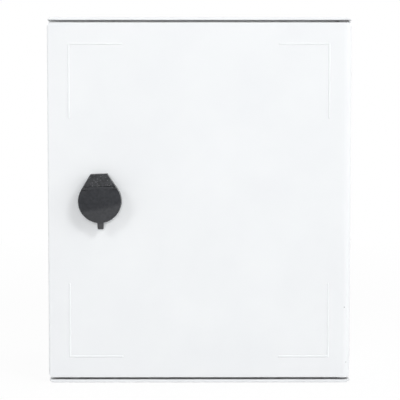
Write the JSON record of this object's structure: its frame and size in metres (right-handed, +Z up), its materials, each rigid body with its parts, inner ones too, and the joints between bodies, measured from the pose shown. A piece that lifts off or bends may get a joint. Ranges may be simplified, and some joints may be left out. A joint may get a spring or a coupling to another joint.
{
  "type": "electrical enclosure",
  "caption": "Moulded wall box for electrical equipment with a side hung door, a quarter turn lock under a hinged dust cover, a door seal and a steel mounting plate inside.",
  "frame": {"origin": "middle of the back face, at the centre of the wall holes", "axes": "+Z up, +Y into the wall, the door faces -Y and +X is the hinge side"},
  "size_m": [0.255, 0.1742, 0.308],
  "materials": {
    "body_moulding": "fine satin moulding",
    "door_moulding": "fine satin moulding",
    "seal_foam": "matt foam",
    "pin_steel": "ground",
    "bush_plastic": "satin",
    "gasket_rubber": "matt",
    "lock_plastic": "semi gloss",
    "cover_plastic": "semi gloss",
    "lock_zinc": "die cast, satin",
    "zinc_steel": "zinc plated",
    "galvanised_plate": "galvanised",
    "insert_brass": "turned"
  },
  "bodies": {
    "enclosure": {"body_shell": "body_moulding", "mounting_plate": "galvanised_plate", "plate_inserts": "insert_brass", "plate_screws": "zinc_steel", "plate_washers": "zinc_steel", "hinge_pin_upper": "pin_steel", "hinge_pin_lower": "pin_steel"},
    "door": {"door_panel": "door_moulding", "door_seal": "seal_foam", "hinge_bush_upper": "bush_plastic", "hinge_bush_lower": "bush_plastic", "lock_housing": "lock_plastic", "lock_gasket": "gasket_rubber", "lock_nut": "lock_zinc", "cover_pin": "pin_steel"},
    "lock": {"lock_rotor": "lock_zinc", "rotor_oring": "gasket_rubber", "lock_cam": "zinc_steel", "cam_washer": "zinc_steel", "cam_screw": "zinc_steel"},
    "cover": {"cover_flap": "cover_plastic"}
  },
  "joints": [
    {"name": "door_swing", "type": "hinge", "parent": "enclosure", "child": "door", "pos_m": [0.1205, -0.153, 0], "axis": [0, 0, 1], "range_deg": [0, 170]},
    {"name": "lock_turn", "type": "hinge", "parent": "door", "child": "lock", "pos_m": [-0.0833, -0.15, 0.0006], "axis": [0, 1, 0], "range_deg": [0, 90]},
    {"name": "cover_lift", "type": "hinge", "parent": "door", "child": "cover", "pos_m": [-0.08366, -0.17199, 0.01159], "axis": [-0.9995, 0, -0.0332], "range_deg": [0, 90]}
  ]
}
